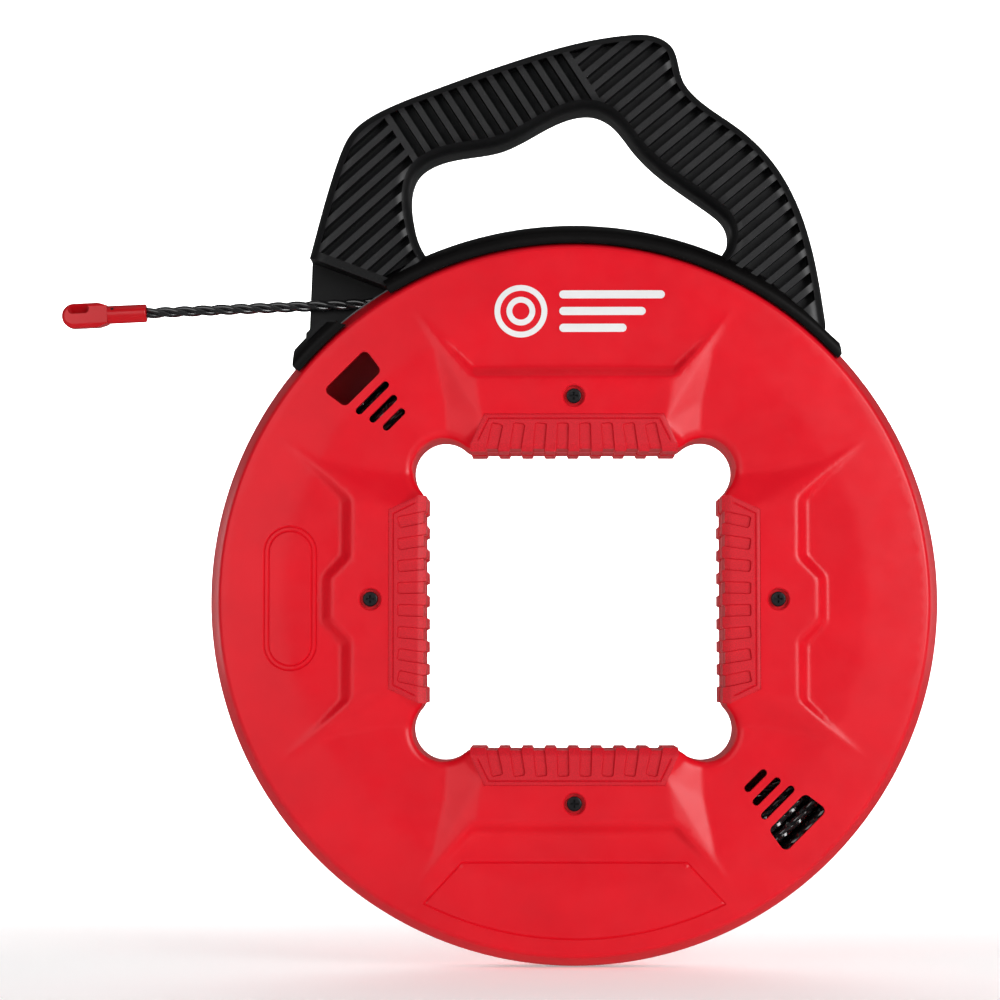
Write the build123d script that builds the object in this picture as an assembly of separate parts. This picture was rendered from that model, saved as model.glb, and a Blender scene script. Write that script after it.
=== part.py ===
from build123d import *
import os
from math import atan2, cos, degrees, hypot, pi, radians, sin, tan

# Fish tape reel, millimetres. Origin: centre of the case, on the plane where its two shells meet.
# The case turns about Y. -Y is the front, +Z is up, and the handle rides the rim at the top.
# "Depth" is the distance from the meeting plane, towards -Y in front and +Y behind.

# ---- driving dimensions ---------------------------------------------------------------------
CASE_R = 152.5  # outside radius of the round case
RIM_WALL = 3.3
WALL = 2.8
RIM_SLOT_HALF = 4.0  # half width of the slot round the rim that the tape and the rail pass
RIM_R, RIM_DEPTH = 148.2, 17.3  # the rim leans in from the slot to here
EDGE_R, EDGE_DEPTH = 146.0, 20.1  # where the rim turns into the face
CREST_R, CREST_DEPTH = 120.0, 21.5  # the face is highest here
HUB_R, HUB_DEPTH = 62.0, 17.6  # and falls to this at the opening
PLATEAU_DEPTH = 24.5  # the four raised flats
HUB_HALF = 62.4  # half side of the square hand opening
LOBE_AT, LOBE_R, LOBE_BLEND = 54.2, 13.0, 7.0  # round corners of the opening
HUB_WALL = 4.5

SCREW_RING_R = 84.4
SCREW_HEAD_R, SCREW_HEAD_H, SCREW_R = 3.1, 1.8, 1.8
RECESS_R, RECESS_FLOOR = 4.4, 22.0
BOSS_R = 5.5

PAD_OUT, PAD_HALF_OUT, PAD_HALF_IN = 77.0, 37.3, 43.0  # grip pad on each side of the opening
PAD_T, PAD_LIP_T, PAD_LIP_END = 2.0, 2.2, 3.0
TOOTH_PITCH, TOOTH_H, TOOTH_W, TOOTH_COUNT = 9.7, 1.1, 4.2, 9
POCKET_W, POCKET_OUT, POCKET_DEPTH, POCKET_FAN = 5.1, 73.2, 0.9, 3.5

WINDOW_ANGLES = (135.0, 315.0)
WINDOW_IN, WINDOW_OUT, WINDOW_HALF_IN, WINDOW_HALF_OUT = 123.8, 135.4, 10.7, 12.4
SLOTS = ((118.6, 9.2), (112.2, 7.6), (105.9, 6.0))  # radius and half length
SLOT_W = 3.2

COIL_IN, COIL_OUT, COIL_HALF = 110.5, 132.5, 14.5  # the loose coil inside
COIL_AT = (4.7, -4.7)
COIL_GROOVE_R, COIL_GROOVE_HALF = 119.0, 3.4

TAPE_D = 4.8
LEAD_SLOPE = 1.95  # degrees that the lead falls as it leaves
LEAD_OFF = 128.65  # distance of the lead's line from the case's centre
LEAD_BOW = 0.6  # degrees that the free end droops
LEAD_XS = (-66.0, -126.0, -181.0)
FEED_END_X = -22.0

TIP_EYE_H, TIP_EYE_T, TIP_COLLAR_R, TIP_COLLAR_L, TIP_L = 10.5, 8.0, 3.85, 16.5, 35.9
TIP_SLOT_L, TIP_SLOT_W, TIP_SLOT_AT, TIP_TURN = 9.0, 3.4, 28.5, 35.0
TIP_PIN_R, TIP_PIN_AT = 0.7, 14.3

ANCHOR_ANGLE, ANCHOR_R, ANCHOR_TAPE_R = 292.5, 97.5, 104.5  # where the tape's inner end is held
ANCHOR_HALF, ANCHOR_TOP = 6.0, 2.45

HANDLE_HALF = 15.0
SADDLE_IN, SADDLE_OUT, SADDLE_HALF = 153.1, 158.0, 19.0
SADDLE_IN_HALF, SADDLE_OUT_HALF = 5.0, 8.5  # its flat middle, inside and outside
SHOULDER_R, LIP_IN, LIP_OUT = 155.6, 148.9, 152.4  # its edges hang over the leaning rim
SADDLE_FROM, SADDLE_TO = 42.4, 140.3
SADDLE_CUTS = ((60.0, 158.2, 43.8, 154.2), (44.3, 155.2, 42.4, 151.4), (138.0, 158.4, 140.5, 152.4))
TONGUES = ((56.0, 119.4), (132.8, 137.2))  # where the rail is let into the saddle
OUTLET_FROM, OUTLET_FLOOR = 120.9, 2.9
RAIL_HEAD_IN, RAIL_HEAD_OUT, RAIL_HEAD_HALF, RAIL_NECK_HALF = 144.6, 148.8, 8.0, 3.6
RAIL_TONGUE_OUT = 155.2
GRIP_ROLL = 5.0
GROOVE_DEPTH, GROOVE_BORDER = 7.0, 3.6
BUSH_OUT_R, BUSH_IN_R = 3.3, 2.8

LEAD_DIR = (-cos(radians(LEAD_SLOPE)), -sin(radians(LEAD_SLOPE)))
OUTER_NORMAL = (LEAD_DIR[1], -LEAD_DIR[0])


# ---- helpers --------------------------------------------------------------------------------
def plate(shape, near, far):
    """A shape drawn in X and Z, made solid between two depths towards the front."""
    return extrude(Plane.XZ.offset(near) * shape, amount=far - near)


def turned(shape, angle):
    """Turns a solid about the case's axis, anticlockwise as the front is seen."""
    return shape.rotate(Axis.Y, -angle)


def polar(r, angle):
    return (r * cos(radians(angle)), r * sin(radians(angle)))


def ring(inner, outer, low, high):
    """A ring about Y between two radii, from y = low to y = high."""
    section = Pos((inner + outer) / 2, (low + high) / 2) * Rectangle(outer - inner, high - low)
    return revolve(section, Axis.Y, 360)


def wedge(start, stop, reach=400.0):
    """A flat sector that covers the angles from start to stop."""
    steps = int((stop - start) / 30) + 2
    edge = [polar(reach, start + (stop - start) * i / (steps - 1)) for i in range(steps)]
    return make_face(Polyline((0, 0), *edge, close=True))


def sector(inner, outer, low, high, start, stop):
    """The part of a ring about Y between two angles."""
    return ring(inner, outer, low, high) & plate(wedge(start, stop), -high - 1, -low + 1)


def face_depth(r):
    """Depth of the dished face at a radius."""
    if r > CREST_R:
        return CREST_DEPTH + (EDGE_DEPTH - CREST_DEPTH) * (r - CREST_R) / (EDGE_R - CREST_R)
    return HUB_DEPTH + (CREST_DEPTH - HUB_DEPTH) * max(0, r - HUB_R) / (CREST_R - HUB_R)


def on_lead(x):
    """The point of the lead's line at x."""
    foot = (OUTER_NORMAL[0] * LEAD_OFF, OUTER_NORMAL[1] * LEAD_OFF)
    s = (x - foot[0]) / LEAD_DIR[0]
    return (x, foot[1] + s * LEAD_DIR[1])


def lead_frame(x):
    """A frame on the lead: local Z runs outwards along the tape and local X points up."""
    at = on_lead(x)
    return Plane(
        origin=(at[0], 0, at[1]),
        x_dir=(OUTER_NORMAL[0], 0, OUTER_NORMAL[1]),
        z_dir=(LEAD_DIR[0], 0, LEAD_DIR[1]),
    )


# ---- case -----------------------------------------------------------------------------------
def hub_outline(grow=0.0):
    """The hand opening: a square with four round lobes, blended by S curves."""
    square = Rectangle(2 * HUB_HALF, 2 * HUB_HALF)
    lobes = Sketch() + [
        Pos(x, y) * Circle(LOBE_R) for x in (-LOBE_AT, LOBE_AT) for y in (-LOBE_AT, LOBE_AT)
    ]
    outline = fillet((square + lobes).vertices(), LOBE_BLEND)
    return offset(outline, grow) if grow else outline


def raised_flat(jog):
    """One raised flat with its riser, two tapering wings and sloping flanks, at the top."""
    sink = 0.4
    flat = [(46.0, 58.0), (37.9, 73.5)]
    tip = (66.5, 121.5)
    riser, foot = [(41.0, 92.5)], [(42.5, 96.7)]
    if jog:
        riser += [(17.0, 92.5), (8.5, 100.9)]
        foot += [(18.5, 96.7), (9.7, 104.8)]
    flank = [(53.0, 58.0), (54.3, 82.7)]

    def under(p):
        return (*p, face_depth(hypot(*p)) - sink)

    top = [(*p, PLATEAU_DEPTH) for p in flat] + [(*tip, face_depth(hypot(*tip)) + 0.1)]
    top += [(*p, PLATEAU_DEPTH) for p in riser]
    low = [under(p) for p in flank + [tip] + foot]
    top += [(-x, z, d) for x, z, d in reversed(top)]
    low += [(-x, z, d) for x, z, d in reversed(low)]
    base = [(x, z, 10.0) for x, z, d in low]
    count, half = len(top), len(top) // 2

    def facet(*points):
        return Face(Wire.make_polygon([Vector(x, -d, z) for x, z, d in points], close=True))

    wings = [facet(top[1], top[2], top[3]), facet(top[-2], top[-3], top[-4])]
    plateau = facet(*[top[i] for i in range(count) if i not in (2, count - 3)])
    sides = []
    for i in range(count):
        j = (i + 1) % count
        if i in (half - 1, count - 1):
            sides.append(facet(top[i], top[j], low[j], low[i]))
        else:
            sides.append(facet(top[i], top[j], low[i]))
            sides.append(facet(top[j], low[j], low[i]))
        sides.append(facet(low[i], low[j], base[j], base[i]))
    solid = Solid(Shell([plateau, facet(*base), *wings, *sides]))
    return solid if solid.volume > 0 else Solid(solid.wrapped.Reversed())


def pad_envelope():
    """The space of one grip pad, at the top: a face plate and a lip that lines the opening."""
    plan = make_face(
        Polyline(
            (-PAD_HALF_IN, HUB_HALF - TOOTH_H),
            (PAD_HALF_IN, HUB_HALF - TOOTH_H),
            (PAD_HALF_IN, HUB_HALF + 2),
            (PAD_HALF_OUT, PAD_OUT),
            (-PAD_HALF_OUT, PAD_OUT),
            (-PAD_HALF_IN, HUB_HALF + 2),
            close=True,
        )
    )
    lip = Pos(0, HUB_HALF + (PAD_LIP_T - TOOTH_H) / 2) * Rectangle(
        2 * PAD_HALF_IN, PAD_LIP_T + TOOTH_H
    )
    face = plate(plan, PLATEAU_DEPTH - PAD_T, PLATEAU_DEPTH)
    return face + plate(lip, PAD_LIP_END, PLATEAU_DEPTH - PAD_T)


def grip_pad():
    """The pad with its row of teeth: pockets lean together and run over the opening's edge."""
    pad = pad_envelope()
    for i in range(TOOTH_COUNT - 1):
        k = i - (TOOTH_COUNT - 2) / 2
        length = POCKET_OUT - HUB_HALF + 4
        pocket = Rot(0, 0, k * POCKET_FAN) * Pos(0, length / 2) * Rectangle(POCKET_W, length)
        pocket = Pos(k * TOOTH_PITCH, HUB_HALF - 4) * fillet(pocket.vertices(), 0.9)
        pad -= plate(pocket, PLATEAU_DEPTH - POCKET_DEPTH, PLATEAU_DEPTH + 1)
        gap = Rectangle(TOOTH_PITCH - TOOTH_W, TOOTH_H + 2)
        notch = Pos(k * TOOTH_PITCH, HUB_HALF - TOOTH_H / 2 - 1) * gap
        pad -= plate(notch, PAD_LIP_END - 1, PLATEAU_DEPTH + 1)
    return pad


def window_cuts():
    """A window over the coil and three slots beside it, twice."""
    shapes = Sketch()
    corners = [
        (WINDOW_IN, -WINDOW_HALF_IN),
        (WINDOW_OUT, -WINDOW_HALF_OUT),
        (WINDOW_OUT, WINDOW_HALF_OUT),
        (WINDOW_IN, WINDOW_HALF_IN),
    ]
    for angle in WINDOW_ANGLES:
        window = make_face(Polyline(*corners, close=True))
        shapes += Rot(0, 0, angle) * fillet(window.vertices(), 2.4)
        for r, half in SLOTS:
            shapes += Rot(0, 0, angle) * Pos(r, 0) * SlotOverall(2 * half, SLOT_W, rotation=90)
    return plate(shapes, 8, 30)


def case_shell(front):
    """Half of the case, in the front's place."""
    outside = make_face(
        Polyline((EDGE_R, -EDGE_DEPTH), (CREST_R, -CREST_DEPTH), (HUB_R, -HUB_DEPTH),
                 (0, -HUB_DEPTH), (0, 0), (CASE_R - RIM_WALL, 0),
                 (CASE_R - RIM_WALL, -RIM_SLOT_HALF), (CASE_R, -RIM_SLOT_HALF),
                 (RIM_R, -RIM_DEPTH))
        + ThreePointArc((RIM_R, -RIM_DEPTH), (147.5, -19.2), (EDGE_R, -EDGE_DEPTH))
    )
    inside = make_face(
        Polyline((0, 1), (CASE_R - RIM_WALL, 1), (CASE_R - RIM_WALL, -8.4),
                 (RIM_R - WALL, -RIM_DEPTH + 1.1), (EDGE_R - 2.0, -EDGE_DEPTH + WALL),
                 (CREST_R, -CREST_DEPTH + WALL),
                 (HUB_R, -HUB_DEPTH + WALL), (0, -HUB_DEPTH + WALL), close=True)
    )
    body = revolve(outside, Axis.Y, 360)
    cavity = revolve(inside, Axis.Y, 360)
    for quarter in range(4):
        body += turned(raised_flat(jog=quarter % 2 == 1), 90 * quarter)
        hollow = plate(Pos(0, 80.0) * Rectangle(70, 23), 8, PLATEAU_DEPTH - PAD_T - WALL)
        hollow += plate(Pos(0, 85.5) * Rectangle(70, 12), 8, PLATEAU_DEPTH - WALL)
        cavity += turned(hollow, 90 * quarter)
    core = plate(hub_outline(HUB_WALL), -2, 30)
    cavity -= core
    for angle in (0, 90, 180, 270):
        cavity -= plate(Pos(*polar(SCREW_RING_R, angle)) * Circle(BOSS_R), -2, 30)
    body = body - cavity - plate(hub_outline(), -2, 30)
    for quarter in range(4):
        body -= turned(pad_envelope(), 90 * quarter)
    body -= window_cuts()
    for angle in (0, 90, 180, 270):
        at = Pos(*polar(SCREW_RING_R, angle))
        if front:
            body -= plate(at * Circle(SCREW_R + 0.2), -2, 30)
            body -= plate(at * Circle(RECESS_R), RECESS_FLOOR, 30)
        else:
            body -= plate(at * Circle(SCREW_R + 0.05), -2, 15)
    return body


def anchor_post():
    """The post behind that holds the inner end of the tape."""
    post = Pos(101.0, 0) * Rectangle(14, 2 * ANCHOR_HALF)
    solid = plate(post, -19.5, -ANCHOR_TOP)
    solid -= plate(Pos(ANCHOR_R, 0) * Circle(1.55), -14, 0)
    return turned(solid, ANCHOR_ANGLE)


def anchor_clip():
    """A bent steel clip over the tape's end."""
    foot = plate(Pos(ANCHOR_R, 0) * Rectangle(6, 9), -ANCHOR_TOP, 2.6)
    cap = plate(Pos(101.2, 0) * Rectangle(13.4, 9), 2.6, 3.9)
    hook = plate(Pos(107.5, 0) * Rectangle(0.8, 9), -1.5, 2.6)
    solid = foot + cap + hook
    solid -= plate(Pos(ANCHOR_R, 0) * Circle(1.7), -4, 5)
    return turned(solid, ANCHOR_ANGLE)


def anchor_screw():
    shank = plate(Pos(ANCHOR_R, 0) * Circle(1.5), -13, 3.9)
    head = plate(Pos(ANCHOR_R, 0) * Circle(2.8), 3.9, 5.6)
    cross = plate(Pos(ANCHOR_R, 0) * (Rectangle(3, 0.7) + Rectangle(0.7, 3)), 4.7, 6)
    return turned(shank + head - cross, ANCHOR_ANGLE)


def tape_tail():
    """The inner end of the tape, from under the clip to the inside of the coil."""
    start, length = -8.0, 54.0
    rod = Pos(ANCHOR_TAPE_R, 0, start + length / 2) * Cylinder(TAPE_D / 2, length)
    return turned(rod, ANCHOR_ANGLE) - coil_ring(groove=False)


def coil_ring(groove=True):
    """The loose coil as one ring, with room round its middle for the tape that leaves it."""
    width = COIL_OUT - COIL_IN
    section = RectangleRounded(width, 2 * COIL_HALF, 6.0)
    solid = revolve(Pos((COIL_IN + COIL_OUT) / 2, 0) * section, Axis.Y, 360)
    if groove:
        solid -= ring(COIL_GROOVE_R, COIL_OUT + 5, -COIL_GROOVE_HALF, COIL_GROOVE_HALF)
    return Pos(COIL_AT[0], 0, COIL_AT[1]) * solid


def case_screws():
    """Four cross-head screws, from the front into the rear shell."""
    found = []
    for angle in (0, 90, 180, 270):
        at = Pos(*polar(SCREW_RING_R, angle))
        head_top = RECESS_FLOOR + SCREW_HEAD_H
        head = plate(at * Circle(SCREW_HEAD_R), RECESS_FLOOR, head_top)
        head = fillet(head.edges().group_by(Axis.Y)[0], 0.6)
        shank = plate(at * Circle(SCREW_R), -14, RECESS_FLOOR)
        cross = at * (Rectangle(3.4, 0.8) + Rectangle(0.8, 3.4))
        found.append(head + shank - plate(cross, head_top - 1.2, head_top + 1))
    return found


def front_mark():
    """A thin printed mark on the face: two rings and three bars."""
    art = Sketch()
    art += Pos(-22, 120) * (Circle(11) - Circle(8.6))
    art += Pos(-22, 120) * (Circle(6) - Circle(3.6))
    for row, length in enumerate((44, 36, 28)):
        art += Pos(-6 + length / 2, 127 - 7 * row) * SlotOverall(length, 3.4)
    thin = 0.25
    skin = make_face(Polyline((80, -12), (142, -12), (142, -face_depth(142)),
                              (CREST_R, -CREST_DEPTH), (80, -face_depth(80)), close=True))
    proud = revolve(Pos(0, -thin) * skin, Axis.Y, 360) - revolve(skin, Axis.Y, 360)
    return proud & plate(art, 15, 30)


# ---- handle ---------------------------------------------------------------------------------
HANDLE_OUTER = [
    (-110.9, 145.3), (-102.8, 175.3), (-98.9, 187.2), (-94.2, 196.8), (-79.3, 207.6),
    (-58.9, 215.8), (-39.4, 222.9), (-22.7, 228.5), (-5.6, 233.6), (23.3, 238.9), (31.8, 238.9),
    (37.8, 237.0), (41.9, 233.7), (44.3, 227.8), (46.6, 219.2), (52.4, 211.8), (70.3, 198.6),
    (87.3, 180.2), (99.8, 150.7), (106.0, 116.5),
]
FINGER_OPENING = [
    (-60.8, 143.2), (-63.3, 146.8), (-65.4, 151.6), (-67.9, 161.7), (-68.4, 172.4),
    (-65.4, 180.6), (-57.8, 186.0), (-30.3, 191.8), (-0.9, 205.8), (8.8, 206.5), (16.4, 202.7),
    (24.5, 192.9), (32.9, 183.8), (57.9, 165.1), (63.6, 159.7), (65.6, 153.0), (64.6, 148.6),
    (61.9, 144.3),
]
OUTLET_LINE = ((-110.9, 143.7), (-78.7, 131.4))  # lower edge of the handle's front at the outlet
GROOVE_FAMILIES = (
    # direction of the grooves in degrees, offset of the first, pitch, count, width
    ("left", 41.5, -208.9, 6.2, 10, 3.5),
    ("top", -57.2, 47.7, 6.46, 12, 3.8),
    ("right", 39.7, -196.0, 6.49, 27, 3.8),
)
TOP_ZONE = (45.7, 120.8)  # the top bar lies between these, measured across its grooves
DIVIDER = 2.7  # the rib that parts the top bar's grooves from the others


def across(direction):
    """The unit vector across a groove, to the right of its direction."""
    return (sin(radians(direction)), -cos(radians(direction)))


def band(direction, low, high, reach=600.0):
    """A long strip along a direction, between two distances across it."""
    n = across(direction)
    middle = (low + high) / 2
    return Pos(n[0] * middle, n[1] * middle) * Rectangle(
        2 * reach, high - low, rotation=direction
    )


def handle_plan(lowest_r):
    """The handle seen from the front, down to a radius from the case's centre."""
    curve = Spline(*HANDLE_OUTER)
    left, right = HANDLE_OUTER[0], HANDLE_OUTER[-1]
    below = Polyline(right, (103.0, 100.0), (-60.0, 60.0), (-112.4, 104.0), left)
    outline = make_face(curve + below)
    opening = make_face(Spline(*FINGER_OPENING) + Line(FINGER_OPENING[-1], FINGER_OPENING[0]))
    outer_half = Circle(400) - Circle(lowest_r)
    return (outline & outer_half) - opening


def outlet_plan():
    """Where the front of the handle is cut away so that the tape leaves freely."""
    (x0, z0), (x1, z1) = OUTLET_LINE
    slope = (z1 - z0) / (x1 - x0)
    past = -130.0
    return make_face(
        Polyline((past, z0 + slope * (past - x0)), (x1, z1), polar(100, OUTLET_FROM), (-70, 112.1),
                 *[polar(SADDLE_OUT + 0.3, a) for a in (131.9, 134, 136, 138)],
                 polar(153.4, 140.6), (past, 98.0), close=True)
    )


def moved_spline(points, to_right, count=26):
    """A spline beside another, to the right of its direction, or to the left if negative."""
    curve = Spline(*points)
    beside = []
    for i in range(count):
        at, along = curve @ (i / (count - 1)), curve % (i / (count - 1))
        beside.append((at.X + along.Y * to_right, at.Y - along.X * to_right))
    return Spline(*beside), beside


def groove_plan():
    """The slanted grooves that core out both sides of the handle."""
    curve, rim = moved_spline(HANDLE_OUTER, GROOVE_BORDER)
    field = make_face(curve + Polyline(rim[-1], (100.0, 100.0), (-60.0, 60.0), rim[0]))
    curve, rim = moved_spline(FINGER_OPENING, -GROOVE_BORDER)
    field -= make_face(curve + Polyline(rim[-1], (0, 120), rim[0]))
    field = field & (Circle(400) - Circle(SADDLE_IN + 0.9))
    (x0, z0), (x1, z1) = OUTLET_LINE
    low = Pos((x0 + x1) / 2, (z0 + z1) / 2) * Rot(0, 0, degrees(atan2(z1 - z0, x1 - x0)))
    field -= low * Pos(0, -30 + GROOVE_BORDER) * Rectangle(90, 60)
    field = max(field.faces(), key=lambda face: face.area)
    top = band(GROOVE_FAMILIES[1][1] + 180, *TOP_ZONE)
    left = band(GROOVE_FAMILIES[1][1] + 180, -300, TOP_ZONE[0] - DIVIDER)
    right = band(GROOVE_FAMILIES[1][1] + 180, TOP_ZONE[1] + DIVIDER, 400)
    zones = {"left": left, "top": top, "right": right}
    grooves = Sketch()
    for name, direction, first, pitch, count, width in GROOVE_FAMILIES:
        turn = direction + 180 if name == "top" else direction
        for i in range(count):
            middle = first + pitch * i
            strip = band(turn, middle - width / 2, middle + width / 2) & zones[name]
            grooves += [face for face in (strip & field).faces() if face.area > 12]
    return grooves


def saddle_band():
    """The channel over the rim, which tapers towards both ends."""
    side = [(SADDLE_IN, SADDLE_IN_HALF), (LIP_IN, SADDLE_HALF), (LIP_OUT, SADDLE_HALF),
            (SHOULDER_R, HANDLE_HALF), (SADDLE_OUT, SADDLE_OUT_HALF)]
    section = make_face(Polyline(*side, *[(r, -y) for r, y in reversed(side)], close=True))
    plan = wedge(SADDLE_FROM, SADDLE_TO)
    for start, start_r, stop, stop_r in SADDLE_CUTS:
        (x0, z0), (x1, z1) = polar(start_r, start), polar(stop_r, stop)
        turn = atan2(z1 - z0, x1 - x0)
        outside = 30 if stop > start else -30
        cut = Pos((x0 + x1) / 2, (z0 + z1) / 2) * Rot(0, 0, degrees(turn))
        plan -= cut * Pos(0, -outside) * Rectangle(50, 60)
    return revolve(section, Axis.Y, 360) & plate(plan, -SADDLE_HALF - 1, SADDLE_HALF + 1)


def rolled_grip():
    """The grip and its legs, with round edges along the outside and the finger opening."""
    grip = plate(handle_plan(SADDLE_IN), -HANDLE_HALF, HANDLE_HALF)
    edges = [edge for edge in grip.edges()
             if edge.geom_type == GeomType.BSPLINE and abs(edge.center().Y) > HANDLE_HALF - 1]
    return fillet(edges, GRIP_ROLL)


def handle_solid():
    """One moulding: the grip, its two legs and the saddle over the rim."""
    grip, grooves = rolled_grip(), groove_plan()
    grip -= plate(grooves, HANDLE_HALF - GROOVE_DEPTH, HANDLE_HALF + 1)
    grip -= plate(grooves, -HANDLE_HALF - 1, -HANDLE_HALF + GROOVE_DEPTH)
    solid = grip + saddle_band()
    solid -= plate(outlet_plan(), -OUTLET_FLOOR, SADDLE_HALF + 1)
    for start, stop in TONGUES:
        solid -= sector(SADDLE_IN - 1, RAIL_TONGUE_OUT, -RAIL_NECK_HALF, RAIL_NECK_HALF, start, stop)
    return max(solid.solids(), key=lambda part: part.volume)


def glide_rail():
    """The T rail pressed into the saddle; its head runs inside the rim and holds the case."""
    start, stop = SADDLE_FROM + 2.6, SADDLE_TO - 1.6
    rail = sector(RAIL_HEAD_IN, RAIL_HEAD_OUT, -RAIL_HEAD_HALF, RAIL_HEAD_HALF, start, stop)
    rail += sector(RAIL_HEAD_OUT - 1, SADDLE_IN, -RAIL_NECK_HALF, RAIL_NECK_HALF, start, stop)
    for low, high in TONGUES:
        rail += sector(SADDLE_IN - 1, RAIL_TONGUE_OUT, -RAIL_NECK_HALF, RAIL_NECK_HALF, low, high)
    bore = lead_frame(-75) * Cylinder(BUSH_OUT_R, 60)
    return rail - bore


def guide_bush():
    """The steel eye in the rail that the tape runs through."""
    length = 13.0
    tube = Cylinder(BUSH_OUT_R, length) - Cylinder(BUSH_IN_R, length + 2)
    return lead_frame(-73.5) * tube


# ---- tape -----------------------------------------------------------------------------------
def lead_points():
    """The lead's route: straight through the eye, then drooping a little towards its tip."""
    start, bend = on_lead(LEAD_XS[0]), on_lead(LEAD_XS[1])
    run = (LEAD_XS[1] - LEAD_XS[2]) / cos(radians(LEAD_SLOPE + LEAD_BOW))
    angle = radians(LEAD_SLOPE + LEAD_BOW)
    end = (bend[0] - run * cos(angle), bend[1] - run * sin(angle))
    return [start, bend, end]


def tape_lead():
    """The part of the tape outside the case."""
    points = [Vector(x, 0, z) for x, z in lead_points()]
    shorter = min((points[1] - points[0]).length, (points[2] - points[1]).length)
    radius = 0.45 * shorter / tan(radians(LEAD_BOW / 2))
    path = FilletPolyline(*points, radius=[radius])
    start = Plane(origin=points[0], z_dir=points[1] - points[0])
    tube = sweep(start * Circle(TAPE_D / 2), path=path)
    share = tube.volume / (pi * (TAPE_D / 2) ** 2 * path.length)
    print("lead", [(round(p.X, 1), round(p.Z, 2)) for p in points])
    print("length", round(path.length, 1), "bend", round(radius), "volume share", round(share, 4))
    return tube


def tape_feed():
    """The straight part inside, from the coil to the eye."""
    start, end = on_lead(LEAD_XS[0]), on_lead(FEED_END_X)
    length = hypot(end[0] - start[0], end[1] - start[1])
    middle = (LEAD_XS[0] + FEED_END_X) / 2
    return lead_frame(middle) * Cylinder(TAPE_D / 2, length)


def tip_frame():
    """Local Z runs outwards from the end of the lead and local X points up."""
    bend, end = lead_points()[1:]
    out = Vector(end[0] - bend[0], 0, end[1] - bend[1]).normalized()
    return Plane(origin=(end[0], 0, end[1]), x_dir=(out.Z, 0, -out.X), z_dir=out)


def tape_tip():
    """The moulded pulling eye: a round collar that widens into a flattened, round-ended eye."""
    eye_half = TIP_EYE_H / 2
    collar = Pos(0, 0, TIP_COLLAR_L / 2) * Cylinder(TIP_COLLAR_R, TIP_COLLAR_L)
    collar = fillet(collar.edges().group_by(Axis.Z)[0], 0.8)
    side = make_face(
        Polyline((-TIP_COLLAR_R, TIP_COLLAR_L), (-eye_half, TIP_COLLAR_L + 4),
                 (-eye_half, TIP_L - eye_half))
        + ThreePointArc((-eye_half, TIP_L - eye_half), (0, TIP_L), (eye_half, TIP_L - eye_half))
        + Polyline((eye_half, TIP_L - eye_half), (eye_half, TIP_COLLAR_L + 4),
                   (TIP_COLLAR_R, TIP_COLLAR_L), (-TIP_COLLAR_R, TIP_COLLAR_L))
    )
    eye = extrude(Plane.XZ.offset(-TIP_EYE_T / 2) * side, amount=TIP_EYE_T)
    eye = fillet(eye.edges().filter_by(Axis.Z), 2.0)
    cut = Rot(0, 0, TIP_TURN) * Pos(0, 0, TIP_SLOT_AT) * Rot(90, 0, 0) * Rot(0, 0, 90)
    slot = cut * extrude(SlotOverall(TIP_SLOT_L, TIP_SLOT_W), amount=12, both=True)
    return tip_frame() * (collar + eye - slot - cross_pin())


def cross_pin():
    """The pin that locks the eye on the tape, longer than it ends up, in the eye's own frame."""
    pin = Cylinder(TIP_PIN_R, 2 * TIP_COLLAR_R + 1.0)
    return Rot(0, 0, TIP_TURN) * Pos(0, 0, TIP_PIN_AT) * Rot(90, 0, 0) * pin


def tip_pin():
    collar = Pos(0, 0, TIP_COLLAR_L / 2) * Cylinder(TIP_COLLAR_R, TIP_COLLAR_L + 4)
    return tip_frame() * (cross_pin() & collar)


# ---- everything -----------------------------------------------------------------------------
def build():
    front = case_shell(front=True)
    rear = case_shell(front=False).rotate(Axis.Z, 180) + anchor_post()
    nodes = {
        "handle": handle_solid(),
        "glide_rail": glide_rail(),
        "guide_bush": guide_bush(),
        "front_shell": front,
        "rear_shell": rear,
        "case_screws": Compound(case_screws()),
        "tape_coil": coil_ring(),
        "anchor_clip": anchor_clip(),
        "anchor_screw": anchor_screw(),
        "tape_tail": tape_tail(),
        "front_mark": Compound(front_mark().solids()),
        "tape_lead": tape_lead(),
        "tape_feed": tape_feed(),
        "tape_tip": tape_tip(),
        "tip_pin": tip_pin(),
    }
    for quarter, side in enumerate(("top", "left", "bottom", "right")):
        nodes["front_pad_" + side] = turned(grip_pad(), 90 * quarter)
    for quarter, side in enumerate(("top", "right", "bottom", "left")):
        nodes["rear_pad_" + side] = turned(grip_pad(), 90 * quarter).rotate(Axis.Z, 180)
    return nodes


os.makedirs("parts", exist_ok=True)
for name, node in build().items():
    export_step(node, "parts/" + name + ".step")
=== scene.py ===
from math import atan2, ceil, cos, degrees, hypot, pi, radians, sin, sqrt, tan

import bmesh
import bpy
import numpy as np
from mathutils import Matrix, Vector
from mathutils.geometry import delaunay_2d_cdt
from mathutils.kdtree import KDTree
from numpy.linalg import norm


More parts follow.
